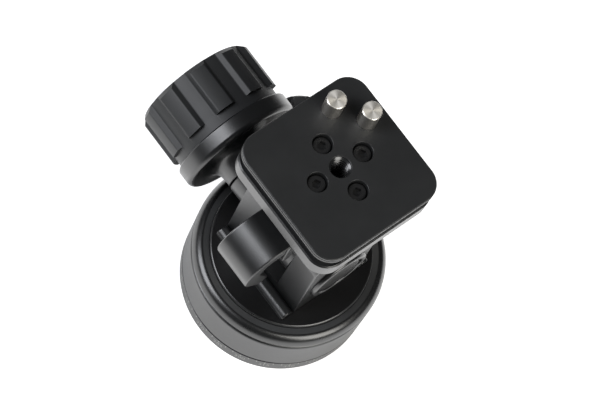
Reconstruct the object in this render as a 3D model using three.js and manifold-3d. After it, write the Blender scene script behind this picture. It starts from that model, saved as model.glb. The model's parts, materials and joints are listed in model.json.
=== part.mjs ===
// Monopod head with a panning base and a one-way tilting platform.
// Millimetres, +Z up. The origin is the centre of the base's underside. X runs along the tilt axis,
// away from the big clamping knob, and the platform tips down towards -Y.

import * as THREE from 'three';
import { mergeVertices } from 'three/addons/utils/BufferGeometryUtils.js';
import Module from 'manifold-3d';

const wasm = await Module();
wasm.setup();

// Clearances and fineness
const fitGap = 0.3;
const seatGap = 0.1;
const cutOver = 1;
const bigSteps = 48;
const midSteps = 28;
const smallSteps = 14;
const arcChord = 1.7;
const fewestArcSteps = 3;
const beadSteps = 3;
const hexSides = 6;

// Base plate with the angle scale, and its hub that the drum turns on
const drumRadius = 30;
const scaleRingHeight = 6;
const rimChamfer = 0.6;
const rimBreak = 0.3;
const hubRadius = 13;
const hubStep = 5;
const brakeAxisRise = 8.6;
const brakeGrooveHalf = 3.2;
const brakeGrooveDepth = 1.6;
const hubLandHeight = 0.8;

// Steel thread insert that takes the monopod's 3/8 inch stud
const studBoreRadius = 4.35;
const studChamfer = 0.6;
const insertRadius = 7.6;
const insertTopZ = 13.5;
const insertFlangeRadius = 10;
const insertFlangeThickness = 1.8;
const insertInset = 0.2;

// Pan bearing stack, from the lower ring up to the retaining nut, in a well around the hub's neck
const panSeam = 0.5;
const drumWall = 3.7;
const bearingThickness = 1;
const bearingWidth = 7;
const nutWellMargin = 4;
const washerThickness = 1;
const washerEdgeGap = 0.5;
const springThickness = 0.6;
const springRise = 0.5;
const springEdgeGap = 3.6;
const nutEdgeGap = 2.6;
const nutHeight = 2.6;
const nutSlotWidth = 3;
const nutSlotDepth = 1.4;
const nutSlotCount = 4;
const neckTopGap = 0.5;

// Turning drum, its bead ring and the disc on top
const drumRimDrop = 1.9;
const drumEdge = 0.5;
const discHeight = 3.22;
const discInset = 4.93;
const discChamfer = 0.42;
const ringHeight = 4;
const ringFlatInset = 2.7;
const creaseInset = 0.8;
const creaseDrop = 1.4;
const lipInset = 0.1;
const lipDrop = 2.3;
const ringGroove = 0.45;

// Screws from below that hold the disc to the drum
const discScrewCount = 3;
const discScrewStartDegrees = 75;
const discScrewDrop = 11.8;
const discScrewCover = 0.92;
const smallScrewRadius = 1.5;
const smallHeadRadius = 2.75;
const smallHeadHeight = 3;
const smallKeyAcross = 2.5;
const smallKeyDepth = 1.5;

// Pedestal: foot with two rounded toes, two ears and the round barrel beside the knob
const pedestalHalfWidth = 16.5;
const toeReach = 2.3;
const toeRadius = 2.2;
const toeEndDegrees = 35;
const earMargin = 1;
const earFootRise = 1.6;
const earRise = 21;
const earCornerRadius = 6;
const earChamfer = 0.45;
const slotSideGap = 0.4;
const slotFloorGap = 0.6;
const barrelRadius = 10.1;
const barrelLength = 6.3;
const footScrewY = 7;
const footScrewRadius = 2;
const footHeadRadius = 4;
const footHeadDrop = 2;
const footScrewLength = 11.6;

// Tilt axis, its shaft and its bearings
const tiltAxisRise = 17.08;
const shaftRadius = 4;
const shaftEndInset = 0.7;
const shaftHeadAcross = 13;
const shaftHeadThickness = 3.4;
const shaftHeadInset = 0.4;
const endCapRadius = 10;
const endCapThickness = 0.8;
const endCapEdge = 0.3;
const endCapSpigotRadius = 5.5;
const endCapSpigotLength = 0.35;
const endCapGrooveRadius = 7.2;
const endCapGrooveWidth = 0.8;
const endCapGrooveDepth = 0.4;
const bushWall = 2;
const frictionEdge = 2.4;
const frictionThickness = 1;
const frictionProud = 0.1;
const barrelWall = 2.1;

// Tilting bracket: tongue, open hook in front of it, and the lower plate
const tongueHalfWidth = 6.9;
const tongueBossRadius = 11.4;
const neckInset = 1.9;
const hookCentreY = -19.8;
const hookRise = 16;
const hookOuterRadius = 10.7;
const hookBoreRadius = 5.2;
const hookLipDegrees = 220;
const hookLipLength = 7.5;
const hookLipThickness = 3.9;
const hookMouthDegrees = 207;
const hookArmDrop = 5.3;
const hookBevel = 0.5;
const fingerOffset = 3.1;
const fingerThickness = 3.2;
const fingerTipDrop = 3.6;
const hookSlitWidth = 0.7;
const hookSlitRoof = 1.7;
const plateSide = 42.8;
const plateCornerRadius = 6.3;
const lowerPlateRise = 38.5;
const lowerPlateThickness = 5.7;
const plateChamfer = 0.45;

// Camera platform with its screws, thread and index pins
const platformHeight = 6.6;
const platformFlange = 2.6;
const platformNeckInset = 1.8;
const platformScrewReach = 8.17;
const counterboreRadius = 3;
const counterboreDepth = 4.5;
const platformScrewCover = 0.9;
const cameraThreadRadius = 3.2;
const cameraThreadMouthRadius = 3.43;
const cameraThreadCover = 1;
const pinRadius = 2.9;
const pinHeight = 7.2;
const pinEdge = 0.25;
const pinShankRadius = 2;
const pinShankLength = 5.2;
const pinOneSideInset = 6.36;
const pinOneBackInset = 12.91;
const pinTwoSideInset = 14.47;
const pinTwoBackInset = 6.48;

// Tilt clamping knob
const knobSeam = 0.4;
const knobNeckInset = 0.1;
const knobFlareRadius = 11.4;
const knobFlareReach = 4.6;
const knobDishReach = 6.5;
const knobDishInset = 1.7;
const collarRadius = 19.3;
const collarReach = 7.8;
const collarWidth = 5.4;
const collarRound = 1.5;
const knobHubRadius = 12;
const knobHubLength = 14;
const thrustInset = 0.6;
const thrustThickness = 1.2;
const knobNutAcross = 13;
const knobNutThickness = 6.4;
const gripInset = 0.1;
const gripDepth = 1.5;
const skirtProud = 0.1;
const skirtWidth = 3.2;
const gripLength = 19;
const gripLands = 10;
const gripLandShare = 0.43;
const gripFlankShare = 0.1;
const gripFirstLandDegrees = 29;
const gripLipRadius = 10.3;
const gripLipThickness = 2.1;
const knobCapRadius = 12.7;
const knobCapThickness = 2.2;

// Pan lock: brake shoe, stud and small knob, placed along a radius of the drum
const panLockDegrees = 135;
const shoeTipRadius = 1.6;
const shoeTipGap = 0.4;
const shoeRadius = 3.6;
const shoeLength = 6.6;
const shoeBackRoom = 2.3;
const studRadius = 3;
const studGrip = 14.2;
const panKnobGap = 0.8;
const panKnobNeckRadius = 5.2;
const panKnobNeckLength = 3.6;
const panKnobLength = 22.2;
const panKnobRadius = 8;
const panKnobFlutes = 8;
const panKnobFluteRadius = 1.3;
const panKnobEdge = 1;

// Heights and radii that follow from the sizes above, from the base upwards
const bearingZ = scaleRingHeight + seatGap;
const drumBottomZ = scaleRingHeight + panSeam;
const hubNeckRadius = hubRadius - hubStep;
const drumBoreRadius = hubRadius + fitGap;
const drumCeilingZ = bearingZ + bearingThickness + fitGap;
const bearingOuterRadius = drumRadius - drumWall - fitGap;
const bearingInnerRadius = bearingOuterRadius - bearingWidth;
const brakeAxisZ = scaleRingHeight + brakeAxisRise;
const hubShoulderZ = brakeAxisZ + brakeGrooveHalf + hubLandHeight;
const drumShoulderZ = hubShoulderZ + fitGap;
const nutWellRadius = hubRadius + nutWellMargin;
const washerOuterRadius = nutWellRadius - washerEdgeGap;
const springOuterRadius = nutWellRadius - springEdgeGap;
const nutOuterRadius = nutWellRadius - nutEdgeGap;
const washerZ = drumShoulderZ + seatGap;
const springZ = washerZ + washerThickness + seatGap;
const nutZ = springZ + springThickness + springRise + seatGap;
const hubNeckTopZ = nutZ + nutHeight + fitGap;
const discSeatZ = hubNeckTopZ + neckTopGap;
const discBottomZ = discSeatZ + seatGap;
const discTopZ = discSeatZ + discHeight;
const discRadius = drumRadius - discInset;
const drumTopZ = discSeatZ - drumRimDrop;
const ringSeatZ = drumTopZ + seatGap;
const ringTopZ = drumTopZ + ringHeight;
const ringInnerRadius = discRadius + fitGap;
const ringFlatRadius = drumRadius - ringFlatInset;
const creaseRadius = drumRadius - creaseInset;
const creaseZ = ringTopZ - creaseDrop;
const lipRadius = drumRadius - lipInset;
const lipZ = ringTopZ - lipDrop;
const discScrewCircle = (nutWellRadius + discRadius) / 2;
const discScrewHeadZ = discSeatZ - discScrewDrop;
const discScrewTipZ = discTopZ - discScrewCover;

const pedestalZ = discTopZ + seatGap;
const tiltAxisZ = discTopZ + tiltAxisRise;
const earFaceY = tongueBossRadius + earMargin;
const earTopZ = tiltAxisZ + earRise;
const toeCentreY = earFaceY + toeReach;
const slotHalfWidth = tongueHalfWidth + slotSideGap;
const slotFloorZ = tiltAxisZ - tongueBossRadius - slotFloorGap;
const footScrewX = (slotHalfWidth + pedestalHalfWidth) / 2;
const barrelEndX = -pedestalHalfWidth - barrelLength;
const pistonRadius = barrelRadius - barrelWall;
const thrustOuterRadius = pistonRadius - thrustInset;
const shaftBoreRadius = shaftRadius + fitGap;
const bushOuterRadius = shaftRadius + bushWall;
const shaftHeadEndX = pedestalHalfWidth - shaftHeadInset;
const shaftHeadX = shaftHeadEndX - shaftHeadThickness;
const frictionOuterRadius = tongueBossRadius - frictionEdge;
const frictionRecess = frictionThickness - frictionProud + seatGap;
const frictionOuterX = tongueHalfWidth + frictionProud;

const neckHalfDepth = tongueBossRadius - neckInset;
const hookCentreZ = tiltAxisZ + hookRise;
const hookSlitTopZ = hookCentreZ + hookOuterRadius - hookSlitRoof;
const fingerFrontY = hookCentreY + fingerOffset;
const fingerTipZ = hookCentreZ - fingerTipDrop;
const lowerPlateZ = tiltAxisZ + lowerPlateRise;
const lowerPlateTopZ = lowerPlateZ + lowerPlateThickness;
const cameraThreadFloorZ = lowerPlateZ + cameraThreadCover;
const platformScrewTipZ = lowerPlateZ + platformScrewCover;
const platformZ = lowerPlateTopZ + seatGap;
const platformTopZ = lowerPlateTopZ + platformHeight;
const platformNeckTopZ = platformTopZ - platformFlange;
const counterboreFloorZ = platformTopZ - counterboreDepth;
const platformHeadZ = counterboreFloorZ + seatGap;
const pinOneX = pinOneSideInset - plateSide / 2;
const pinOneY = plateSide / 2 - pinOneBackInset;
const pinTwoX = pinTwoSideInset - plateSide / 2;
const pinTwoY = plateSide / 2 - pinTwoBackInset;

const knobStartX = barrelEndX - knobSeam;
const pistonEndX = barrelEndX - seatGap;
const pistonInnerX = -frictionOuterX - seatGap;
const thrustX = pistonEndX - seatGap;
const knobNeckRadius = barrelRadius - knobNeckInset;
const knobFlareX = barrelEndX - knobFlareReach;
const knobDishX = barrelEndX - knobDishReach;
const knobDishRadius = collarRadius - knobDishInset;
const collarStartX = barrelEndX - collarReach;
const collarEndX = collarStartX - collarWidth;
const knobHubEndX = collarEndX - knobHubLength;
const shaftEndX = knobHubEndX + shaftEndInset;
const gripRadius = collarRadius - gripInset;
const gripGrooveRadius = gripRadius - gripDepth;
const skirtRadius = gripGrooveRadius + skirtProud;
const skirtEndX = collarEndX - skirtWidth;
const gripEndX = collarEndX - gripLength;

const shoeTipReach = hubRadius - brakeGrooveDepth + shoeTipGap;
const shoeEndReach = shoeTipReach + shoeLength;
const panKnobStartReach = drumRadius + panKnobGap;
const panKnobEndReach = panKnobStartReach + panKnobLength;
const studEndReach = panKnobStartReach + studGrip;
const degrees = Math.PI / 180;

// Materials, named for their finish
function finish(color, roughness, metalness) {
  return new THREE.MeshStandardMaterial({ color, roughness, metalness });
}
const blackAnodised = finish(0x26282a, 0.42, 0.6);
const satinKnob = finish(0x2f3132, 0.5, 0.3);
const zincSteel = finish(0xa9abac, 0.35, 1);
const stainless = finish(0xc4c3c0, 0.28, 1);
const blackSteel = finish(0x1d1e1f, 0.4, 0.8);
const bronze = finish(0x9a7442, 0.45, 1);
const acetal = finish(0xd9d6cc, 0.6, 0);

// A closed three.js geometry becomes a solid: doubled points are merged, flat triangles left by the
// turning axis are dropped, and a geometry that was drawn inside out is turned round.
function solidOf(geometry) {
  const bare = geometry.clone();
  bare.deleteAttribute('normal');
  bare.deleteAttribute('uv');
  const merged = mergeVertices(bare);
  const points = merged.attributes.position.array;
  const corners = merged.index.array;
  const kept = [];
  let volume = 0;
  const a = new THREE.Vector3();
  const b = new THREE.Vector3();
  const c = new THREE.Vector3();
  for (let i = 0; i < corners.length; i += 3) {
    const [p, q, r] = [corners[i], corners[i + 1], corners[i + 2]];
    if (p === q || q === r || r === p) continue;
    kept.push(p, q, r);
    a.fromArray(points, 3 * p);
    b.fromArray(points, 3 * q);
    c.fromArray(points, 3 * r);
    volume += a.dot(b.cross(c));
  }
  if (volume < 0) kept.reverse();
  const triVerts = Uint32Array.from(kept);
  const vertProperties = Float32Array.from(points);
  return new wasm.Manifold(new wasm.Mesh({ numProp: 3, vertProperties, triVerts }));
}

// A solid becomes a named mesh in the given group
function piece(group, name, solid, material) {
  const mesh = solid.getMesh();
  const geometry = new THREE.BufferGeometry();
  geometry.setAttribute('position', new THREE.BufferAttribute(mesh.vertProperties, 3));
  geometry.setIndex(new THREE.BufferAttribute(mesh.triVerts, 1));
  geometry.computeVertexNormals();
  const made = new THREE.Mesh(geometry, material);
  made.name = name;
  group.add(made);
  return made;
}

// Turned solids: each profile is a closed list of [radius, place along the axis]
function turnedGeometry(profile, steps) {
  const points = profile.map(([radius, along]) => new THREE.Vector2(radius, along));
  points.push(points[0].clone());
  return new THREE.LatheGeometry(points, steps);
}
function turnedZ(profile, steps) {
  return solidOf(turnedGeometry(profile, steps).rotateX(Math.PI / 2));
}
function turnedX(profile, steps) {
  return solidOf(turnedGeometry(profile, steps).rotateZ(-Math.PI / 2));
}
function ringZ(inner, outer, low, high, steps) {
  return turnedZ([[inner, low], [outer, low], [outer, high], [inner, high]], steps);
}
function ringX(inner, outer, low, high, steps) {
  return turnedX([[inner, low], [outer, low], [outer, high], [inner, high]], steps);
}
function rodZ(radius, low, high, x, y, steps) {
  const geometry = new THREE.CylinderGeometry(radius, radius, high - low, steps).rotateX(Math.PI / 2);
  return solidOf(geometry.translate(x, y, (low + high) / 2));
}
function rodX(radius, low, high, y, z, steps) {
  const geometry = new THREE.CylinderGeometry(radius, radius, high - low, steps).rotateZ(-Math.PI / 2);
  return solidOf(geometry.translate((low + high) / 2, y, z));
}
function coneZ(lowRadius, highRadius, low, high, x, y, steps) {
  const geometry = new THREE.CylinderGeometry(highRadius, lowRadius, high - low, steps);
  return solidOf(geometry.rotateX(Math.PI / 2).translate(x, y, (low + high) / 2));
}
function block(x0, x1, y0, y1, z0, z1) {
  const geometry = new THREE.BoxGeometry(x1 - x0, y1 - y0, z1 - z0);
  return solidOf(geometry.translate((x0 + x1) / 2, (y0 + y1) / 2, (z0 + z1) / 2));
}

// Hexagonal prisms by their size across flats
function hexZ(across, low, high, x, y) {
  return rodZ(across / Math.sqrt(3), low, high, x, y, hexSides);
}
function hexX(across, low, high, y, z) {
  return rodX(across / Math.sqrt(3), low, high, y, z, hexSides);
}

// Points of an arc about a centre, a chord apart
function arcPoints(x, y, radius, from, to) {
  const steps = Math.max(fewestArcSteps, Math.round(Math.abs(to - from) * radius / arcChord));
  const points = [];
  for (let i = 0; i <= steps; i += 1) {
    const turn = from + (to - from) * i / steps;
    points.push([x + radius * Math.cos(turn), y + radius * Math.sin(turn)]);
  }
  return points;
}

// Extrusions: along Z from an outline in X and Y, and along X from an outline in Y and Z
function extruded(outline, length, bevel) {
  const shape = new THREE.Shape(outline.map(([x, y]) => new THREE.Vector2(x, y)));
  return new THREE.ExtrudeGeometry(shape, {
    depth: length - 2 * bevel,
    bevelEnabled: bevel > 0,
    bevelThickness: bevel,
    bevelSize: bevel,
    bevelOffset: -bevel,
    bevelSegments: 1,
  }).translate(0, 0, bevel);
}
function extrudedZ(outline, low, high, bevel) {
  return solidOf(extruded(outline, high - low, bevel).translate(0, 0, low));
}
function extrudedX(outline, low, high, bevel) {
  const yAxis = new THREE.Vector3(0, 1, 0);
  const zAxis = new THREE.Vector3(0, 0, 1);
  const xAxis = new THREE.Vector3(1, 0, 0);
  const turn = new THREE.Matrix4().makeBasis(yAxis, zAxis, xAxis);
  return solidOf(extruded(outline, high - low, bevel).translate(0, 0, low).applyMatrix4(turn));
}
function roundedSquare(side, corner) {
  const half = side / 2;
  const inner = half - corner;
  const quarter = Math.PI / 2;
  return [
    ...arcPoints(inner, inner, corner, 0, quarter),
    ...arcPoints(-inner, inner, corner, quarter, 2 * quarter),
    ...arcPoints(-inner, -inner, corner, 2 * quarter, 3 * quarter),
    ...arcPoints(inner, -inner, corner, 3 * quarter, 4 * quarter),
  ];
}

const head = new THREE.Group();
const tiltAxis = new THREE.Group();
tiltAxis.position.z = tiltAxisZ;
const panLock = new THREE.Group();
panLock.position.z = brakeAxisZ;
panLock.rotation.z = panLockDegrees * degrees;
head.add(tiltAxis, panLock);

// Fixed base
function addBase() {
  const flangeSeatZ = insertInset + insertFlangeThickness + seatGap;
  const plate = turnedZ([
    [insertFlangeRadius + fitGap, 0],
    [drumRadius - rimChamfer, 0],
    [drumRadius, rimChamfer],
    [drumRadius, scaleRingHeight - rimBreak],
    [drumRadius - rimBreak, scaleRingHeight],
    [hubRadius, scaleRingHeight],
    [hubRadius, brakeAxisZ - brakeGrooveHalf],
    [hubRadius - brakeGrooveDepth, brakeAxisZ - brakeGrooveHalf + brakeGrooveDepth],
    [hubRadius - brakeGrooveDepth, brakeAxisZ + brakeGrooveHalf - brakeGrooveDepth],
    [hubRadius, brakeAxisZ + brakeGrooveHalf],
    [hubRadius, hubShoulderZ],
    [hubNeckRadius, hubShoulderZ],
    [hubNeckRadius, hubNeckTopZ],
    [0, hubNeckTopZ],
    [0, insertTopZ + fitGap],
    [insertRadius + fitGap, insertTopZ + fitGap],
    [insertRadius + fitGap, flangeSeatZ],
    [insertFlangeRadius + fitGap, flangeSeatZ],
  ], bigSteps);
  piece(head, 'base_plate', plate, blackAnodised);

  const insert = turnedZ([
    [studBoreRadius + studChamfer, insertInset],
    [insertFlangeRadius, insertInset],
    [insertFlangeRadius, insertInset + insertFlangeThickness],
    [insertRadius, insertInset + insertFlangeThickness],
    [insertRadius, insertTopZ],
    [studBoreRadius, insertTopZ],
    [studBoreRadius, insertInset + studChamfer],
  ], midSteps);
  piece(head, 'base_thread_insert', insert, zincSteel);
}

// Bearing stack between the base and the drum
function addPanBearings() {
  const bearingTopZ = bearingZ + bearingThickness;
  const ring = ringZ(bearingInnerRadius, bearingOuterRadius, bearingZ, bearingTopZ, midSteps);
  piece(head, 'pan_bearing_ring', ring, acetal);
  const inner = hubNeckRadius + fitGap;
  const washer = ringZ(inner, washerOuterRadius, washerZ, washerZ + washerThickness, midSteps);
  piece(head, 'pan_upper_washer', washer, acetal);
  const spring = turnedZ([
    [inner, springZ + springRise],
    [springOuterRadius, springZ],
    [springOuterRadius, springZ + springThickness],
    [inner, springZ + springRise + springThickness],
  ], midSteps);
  piece(head, 'pan_disc_spring', spring, zincSteel);
  let nut = ringZ(inner, nutOuterRadius, nutZ, nutZ + nutHeight, midSteps);
  for (let i = 0; i < nutSlotCount; i += 1) {
    const slot = new THREE.BoxGeometry(2 * nutSlotDepth, nutSlotWidth, 2 * nutHeight);
    slot.translate(nutOuterRadius, 0, nutZ + nutHeight).rotateZ(i * 2 * Math.PI / nutSlotCount);
    nut = nut.subtract(solidOf(slot));
  }
  piece(head, 'pan_retaining_nut', nut, zincSteel);
}

// Turning drum, its bead ring, the disc and the screws that join them
function addDrum() {
  let drum = turnedZ([
    [drumBoreRadius, drumCeilingZ],
    [bearingOuterRadius + fitGap, drumCeilingZ],
    [bearingOuterRadius + fitGap, drumBottomZ],
    [drumRadius - rimBreak, drumBottomZ],
    [drumRadius, drumBottomZ + rimBreak],
    [drumRadius, drumTopZ - drumEdge],
    [drumRadius - drumEdge, drumTopZ],
    [ringInnerRadius - fitGap, drumTopZ],
    [ringInnerRadius - fitGap, discSeatZ],
    [nutWellRadius, discSeatZ],
    [nutWellRadius, drumShoulderZ],
    [drumBoreRadius, drumShoulderZ],
  ], bigSteps);
  let disc = turnedZ([
    [0, discBottomZ],
    [discRadius - rimBreak, discBottomZ],
    [discRadius, discBottomZ + rimBreak],
    [discRadius, discTopZ - discChamfer],
    [discRadius - discChamfer, discTopZ],
    [0, discTopZ],
  ], bigSteps);

  const headTopZ = discScrewHeadZ + smallHeadHeight;
  for (let i = 0; i < discScrewCount; i += 1) {
    const turn = (discScrewStartDegrees + i * 360 / discScrewCount) * degrees;
    const x = discScrewCircle * Math.cos(turn);
    const y = discScrewCircle * Math.sin(turn);
    const headWell = smallHeadRadius + fitGap;
    const shankHole = smallScrewRadius + fitGap;
    drum = drum.subtract(rodZ(headWell, drumCeilingZ - cutOver, headTopZ + seatGap, x, y, smallSteps));
    drum = drum.subtract(rodZ(shankHole, headTopZ, discTopZ, x, y, smallSteps));
    disc = disc.subtract(rodZ(shankHole, discBottomZ - cutOver, discScrewTipZ + seatGap, x, y, smallSteps));
    const screw = capScrew(discScrewTipZ - headTopZ);
    const made = piece(head, `disc_screw_${i + 1}`, screw, blackSteel);
    made.position.set(x, y, headTopZ);
    made.rotation.x = Math.PI;
  }

  const lockBore = solidOf(new THREE.CylinderGeometry(
    studRadius + fitGap, studRadius + fitGap, drumRadius, smallSteps,
  ).rotateZ(-Math.PI / 2).translate(drumRadius / 2 + shoeEndReach, 0, 0)
    .rotateZ(panLockDegrees * degrees).translate(0, 0, brakeAxisZ));
  const shoeBoreStart = hubRadius - cutOver;
  const shoeBoreEnd = shoeEndReach + shoeBackRoom;
  const shoeBore = solidOf(new THREE.CylinderGeometry(
    shoeRadius + fitGap, shoeRadius + fitGap, shoeBoreEnd - shoeBoreStart, smallSteps,
  ).rotateZ(-Math.PI / 2).translate((shoeBoreStart + shoeBoreEnd) / 2, 0, 0)
    .rotateZ(panLockDegrees * degrees).translate(0, 0, brakeAxisZ));
  piece(head, 'drum_body', drum.subtract(lockBore).subtract(shoeBore), blackAnodised);

  for (const x of [-footScrewX, footScrewX]) {
    for (const y of [-footScrewY, footScrewY]) {
      const hole = footScrewRadius + fitGap;
      const sink = footHeadRadius + fitGap;
      disc = disc.subtract(rodZ(hole, discBottomZ - cutOver, discTopZ + cutOver, x, y, smallSteps));
      disc = disc.subtract(coneZ(sink, hole, discBottomZ, discBottomZ + footHeadDrop, x, y, smallSteps));
    }
  }
  piece(head, 'turntable_disc', disc, blackAnodised);

  const bead = new THREE.Path();
  bead.moveTo(ringInnerRadius, ringSeatZ);
  bead.lineTo(lipRadius - ringGroove, ringSeatZ);
  bead.lineTo(lipRadius, ringSeatZ + ringGroove);
  bead.lineTo(lipRadius, lipZ);
  bead.quadraticCurveTo(lipRadius, creaseZ, creaseRadius, creaseZ);
  bead.quadraticCurveTo(creaseRadius, ringTopZ, ringFlatRadius, ringTopZ);
  bead.lineTo(ringInnerRadius, ringTopZ);
  const outline = bead.getPoints(beadSteps).map((point) => [point.x, point.y]);
  piece(head, 'drum_cap_ring', turnedZ(outline, bigSteps), blackAnodised);
}

// Socket head screw, drawn with its head's seat at the local origin, the head above and the shank below
function capScrew(shankLength) {
  const body = turnedZ([
    [0, -shankLength],
    [smallScrewRadius - rimBreak, -shankLength],
    [smallScrewRadius, rimBreak - shankLength],
    [smallScrewRadius, 0],
    [smallHeadRadius, 0],
    [smallHeadRadius, smallHeadHeight - rimBreak],
    [smallHeadRadius - rimBreak, smallHeadHeight],
    [0, smallHeadHeight],
  ], smallSteps);
  const key = hexZ(smallKeyAcross, smallHeadHeight - smallKeyDepth, smallHeadHeight + cutOver, 0, 0);
  return body.subtract(key);
}

// Pedestal with its four countersunk screws from under the disc
function addPedestal() {
  const toeEnd = toeEndDegrees * degrees;
  const cornerY = earFaceY - earCornerRadius;
  const cornerZ = earTopZ - earCornerRadius;
  const side = [
    ...arcPoints(toeCentreY, pedestalZ, toeRadius, 0, Math.PI - toeEnd),
    [earFaceY, pedestalZ + earFootRise],
    ...arcPoints(cornerY, cornerZ, earCornerRadius, 0, Math.PI / 2),
    ...arcPoints(-cornerY, cornerZ, earCornerRadius, Math.PI / 2, Math.PI),
    [-earFaceY, pedestalZ + earFootRise],
    ...arcPoints(-toeCentreY, pedestalZ, toeRadius, toeEnd, Math.PI),
  ];
  let body = extrudedX(side, -pedestalHalfWidth, pedestalHalfWidth, earChamfer);
  const barrelRoot = earChamfer - pedestalHalfWidth + cutOver;
  body = body.add(rodX(barrelRadius, barrelEndX, barrelRoot, 0, tiltAxisZ, midSteps));
  const reach = toeCentreY + toeRadius + cutOver;
  body = body.subtract(block(-slotHalfWidth, slotHalfWidth, -reach, reach, slotFloorZ, earTopZ + cutOver));
  const pistonBore = pistonRadius + fitGap;
  body = body.subtract(rodX(pistonBore, barrelEndX - cutOver, 0, 0, tiltAxisZ, midSteps));
  body = body.subtract(rodX(shaftBoreRadius, 0, pedestalHalfWidth + cutOver, 0, tiltAxisZ, smallSteps));
  const headWell = shaftHeadAcross + 2 * fitGap;
  const wellFloorX = shaftHeadX - seatGap;
  body = body.subtract(hexX(headWell, wellFloorX, pedestalHalfWidth + cutOver, 0, tiltAxisZ));
  const screwTop = discBottomZ + seatGap + footScrewLength;
  let count = 0;
  for (const x of [-footScrewX, footScrewX]) {
    for (const y of [-footScrewY, footScrewY]) {
      const hole = footScrewRadius + fitGap;
      body = body.subtract(rodZ(hole, pedestalZ - cutOver, screwTop + fitGap, x, y, smallSteps));
      const screw = turnedZ([
        [0, 0],
        [footHeadRadius, 0],
        [footScrewRadius, footHeadDrop],
        [footScrewRadius, footScrewLength],
        [0, footScrewLength],
      ], smallSteps).subtract(hexZ(smallKeyAcross, -cutOver, smallKeyDepth, 0, 0));
      count += 1;
      const made = piece(head, `pedestal_screw_${count}`, screw, blackSteel);
      made.position.set(x, y, discBottomZ + seatGap);
    }
  }
  piece(head, 'pedestal', body, blackAnodised);
}

// Shaft, cap, bush, friction washers and clamping piston, all on the tilt axis
function addTiltShaft() {
  const rod = rodX(shaftRadius, shaftEndX, shaftHeadX + rimBreak, 0, 0, smallSteps);
  const headHex = hexX(shaftHeadAcross, shaftHeadX, shaftHeadEndX, 0, 0);
  piece(tiltAxis, 'tilt_shaft', rod.add(headHex), zincSteel);

  const capX = pedestalHalfWidth + seatGap;
  const faceX = capX + endCapThickness;
  const cap = turnedX([
    [0, capX - endCapSpigotLength],
    [endCapSpigotRadius, capX - endCapSpigotLength],
    [endCapSpigotRadius, capX],
    [endCapRadius, capX],
    [endCapRadius, faceX - endCapEdge],
    [endCapRadius - endCapEdge, faceX],
    [endCapGrooveRadius + endCapGrooveWidth, faceX],
    [endCapGrooveRadius + endCapGrooveWidth, faceX - endCapGrooveDepth],
    [endCapGrooveRadius, faceX - endCapGrooveDepth],
    [endCapGrooveRadius, faceX],
    [0, faceX],
  ], midSteps);
  piece(tiltAxis, 'tilt_end_cap', cap, blackAnodised);

  const bushHalf = tongueHalfWidth - frictionRecess - seatGap;
  const bush = ringX(shaftBoreRadius, bushOuterRadius, -bushHalf, bushHalf, smallSteps);
  piece(tiltAxis, 'tilt_bush', bush, bronze);
  const innerX = frictionOuterX - frictionThickness;
  const right = ringX(shaftBoreRadius, frictionOuterRadius, innerX, frictionOuterX, midSteps);
  const left = ringX(shaftBoreRadius, frictionOuterRadius, -frictionOuterX, -innerX, midSteps);
  piece(tiltAxis, 'friction_washer_right', right, acetal);
  piece(tiltAxis, 'friction_washer_left', left, acetal);
  const piston = ringX(shaftBoreRadius, pistonRadius, pistonEndX, pistonInnerX, midSteps);
  piece(tiltAxis, 'tilt_piston', piston, zincSteel);
}

// Side outline of the open hook in front of the tongue: a round that runs out in a straight lip, and the
// finger that hangs behind its mouth
function hookOutline() {
  const lip = hookLipDegrees * degrees;
  const lipY = hookCentreY + hookOuterRadius * Math.cos(lip) - hookLipLength * Math.sin(lip);
  const lipZ = hookCentreZ + hookOuterRadius * Math.sin(lip) + hookLipLength * Math.cos(lip);
  const slitY = fingerFrontY - hookSlitWidth;
  const slitStart = Math.acos((slitY - hookCentreY) / hookBoreRadius);
  const fingerBackY = fingerFrontY + fingerThickness;
  const fingerRound = fingerThickness / 2;
  const armTopZ = hookCentreZ + hookOuterRadius;
  const armBottomZ = armTopZ - hookArmDrop;
  return [
    [0, armTopZ],
    ...arcPoints(hookCentreY, hookCentreZ, hookOuterRadius, Math.PI / 2, lip),
    [lipY, lipZ],
    [lipY - hookLipThickness * Math.cos(lip), lipZ - hookLipThickness * Math.sin(lip)],
    ...arcPoints(hookCentreY, hookCentreZ, hookBoreRadius, hookMouthDegrees * degrees, slitStart),
    [slitY, hookSlitTopZ],
    [fingerFrontY, hookSlitTopZ],
    ...arcPoints(fingerFrontY + fingerRound, fingerTipZ + fingerRound, fingerRound, Math.PI, 2 * Math.PI),
    [fingerBackY, armBottomZ],
    [0, armBottomZ],
  ];
}

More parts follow.
